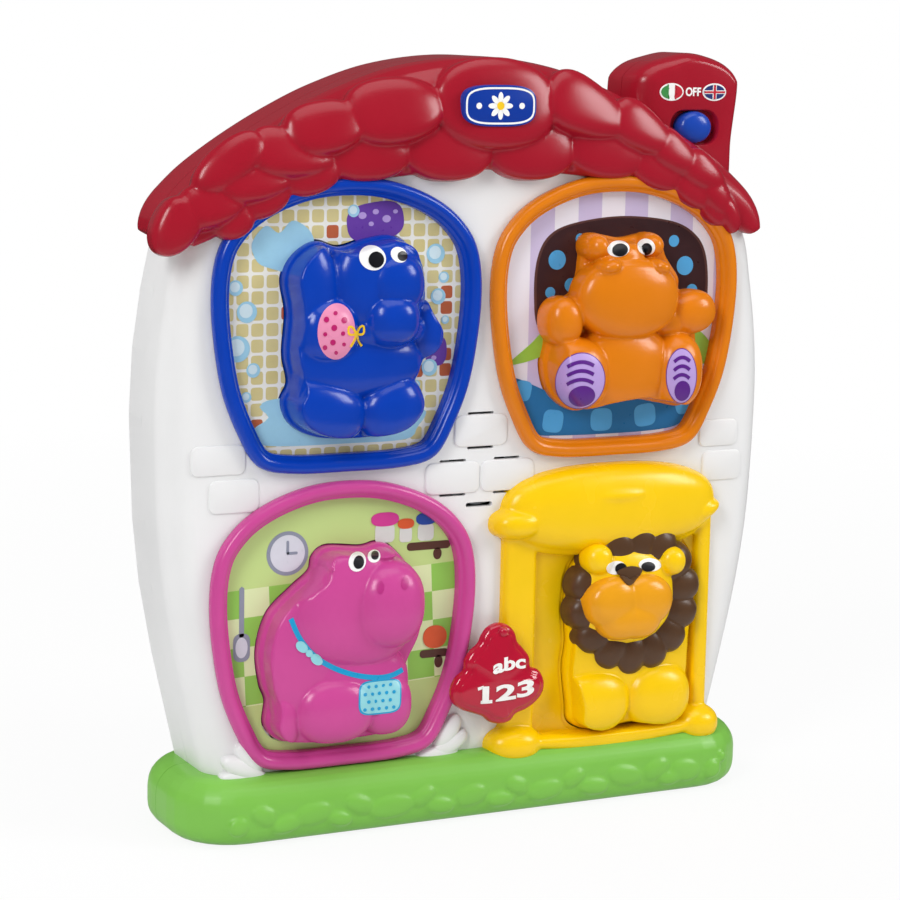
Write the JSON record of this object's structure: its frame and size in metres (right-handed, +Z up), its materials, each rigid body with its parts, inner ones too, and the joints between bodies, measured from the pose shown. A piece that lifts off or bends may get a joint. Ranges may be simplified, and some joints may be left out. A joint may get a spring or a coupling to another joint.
{
  "type": "shape sorter",
  "caption": "House-shaped electronic shape sorter with lift-out animals in framed windows and a doorway, a push button, a slide switch and a battery box.",
  "frame": {"origin": "on the underside of the base, halfway along it, in the plane of the white house's front face", "axes": "+Z up the house to the roof, +Y from its front to its back, +X to the right when it is seen from the front"},
  "size_m": [0.293, 0.0829, 0.3284],
  "materials": {
    "white_shell": "satin gloss moulding",
    "red_roof": "gloss",
    "blue_badge": "gloss",
    "green_base": "satin",
    "yellow_door": "gloss",
    "blue_frame": "gloss",
    "orange_frame": "gloss",
    "pink_frame": "gloss",
    "printed_card": "printed and laminated card",
    "blue_animal": "gloss",
    "orange_animal": "gloss",
    "pink_animal": "gloss",
    "yellow_animal": "gloss",
    "brown_mane": "satin",
    "ruby_button": "tinted, slightly translucent",
    "blue_knob": "gloss",
    "pale_rubber": "matte",
    "clear_lamp": "clear",
    "plated_steel": "zinc plated",
    "green_board": "solder mask",
    "black_switch": "matte",
    "battery_sleeve": "printed sleeve"
  },
  "bodies": {
    "house": {"front_housing": "white_shell", "back_housing": "white_shell", "battery_tray": "white_shell", "blue_piece_tray": "white_shell", "orange_piece_tray": "white_shell", "pink_piece_tray": "white_shell", "roof_front": "red_roof", "roof_back": "red_roof", "chimney_front": "red_roof", "chimney_back": "red_roof", "roof_badge": "blue_badge", "base_front": "green_base", "base_back": "green_base", "door_surround": "yellow_door", "blue_window_frame": "blue_frame", "orange_window_frame": "orange_frame", "pink_window_frame": "pink_frame", "blue_picture_card": "printed_card", "orange_picture_card": "printed_card", "pink_picture_card": "printed_card", "button_lamp": "clear_lamp", "slide_switch": "plated_steel", "circuit_board": "green_board", "board_screw_1": "plated_steel", "board_screw_2": "plated_steel", "blue_piece_sensor": "black_switch", "orange_piece_sensor": "black_switch", "pink_piece_sensor": "black_switch", "door_piece_sensor": "black_switch", "speaker_basket": "plated_steel", "speaker_cone": "black_switch", "speaker_magnet": "plated_steel", "battery_1": "battery_sleeve", "battery_2": "battery_sleeve", "battery_3": "battery_sleeve", "battery_contact_left": "plated_steel", "battery_contact_right": "plated_steel", "case_screw_1": "plated_steel", "case_screw_2": "plated_steel", "case_screw_3": "plated_steel", "case_screw_4": "plated_steel", "case_screw_5": "plated_steel", "case_screw_6": "plated_steel"},
    "elephant": {"elephant_front": "blue_animal", "elephant_back": "blue_animal"},
    "sitting_hippo": {"sitting_hippo_front": "orange_animal", "sitting_hippo_back": "orange_animal"},
    "standing_hippo": {"standing_hippo_front": "pink_animal", "standing_hippo_back": "pink_animal"},
    "lion": {"lion_body": "yellow_animal", "lion_back": "yellow_animal", "lion_mane": "brown_mane", "lion_muzzle": "orange_animal"},
    "push_button": {"red_button": "ruby_button", "button_dome": "pale_rubber"},
    "language_knob": {"language_switch_knob": "blue_knob"},
    "battery_cover": {"battery_door": "white_shell", "battery_door_screw": "plated_steel"}
  },
  "joints": [
    {"name": "elephant_lift_out", "type": "slide", "parent": "house", "child": "elephant", "axis": [0, -1, 0], "range_m": [0, 0.12]},
    {"name": "sitting_hippo_lift_out", "type": "slide", "parent": "house", "child": "sitting_hippo", "axis": [0, -1, 0], "range_m": [0, 0.12]},
    {"name": "standing_hippo_lift_out", "type": "slide", "parent": "house", "child": "standing_hippo", "axis": [0, -1, 0], "range_m": [0, 0.12]},
    {"name": "lion_lift_out", "type": "slide", "parent": "house", "child": "lion", "axis": [0, -1, 0], "range_m": [0, 0.12]},
    {"name": "button_press", "type": "slide", "parent": "house", "child": "push_button", "axis": [0, 1, 0], "range_m": [0, 0.002], "stiffness_N_per_m": 400, "springref_m": -0.002},
    {"name": "language_select", "type": "slide", "parent": "house", "child": "language_knob", "axis": [1, 0, 0], "range_m": [-0.0035, 0.0035]},
    {"name": "battery_cover_off", "type": "slide", "parent": "house", "child": "battery_cover", "axis": [0, 1, 0], "range_m": [0, 0.06]}
  ]
}
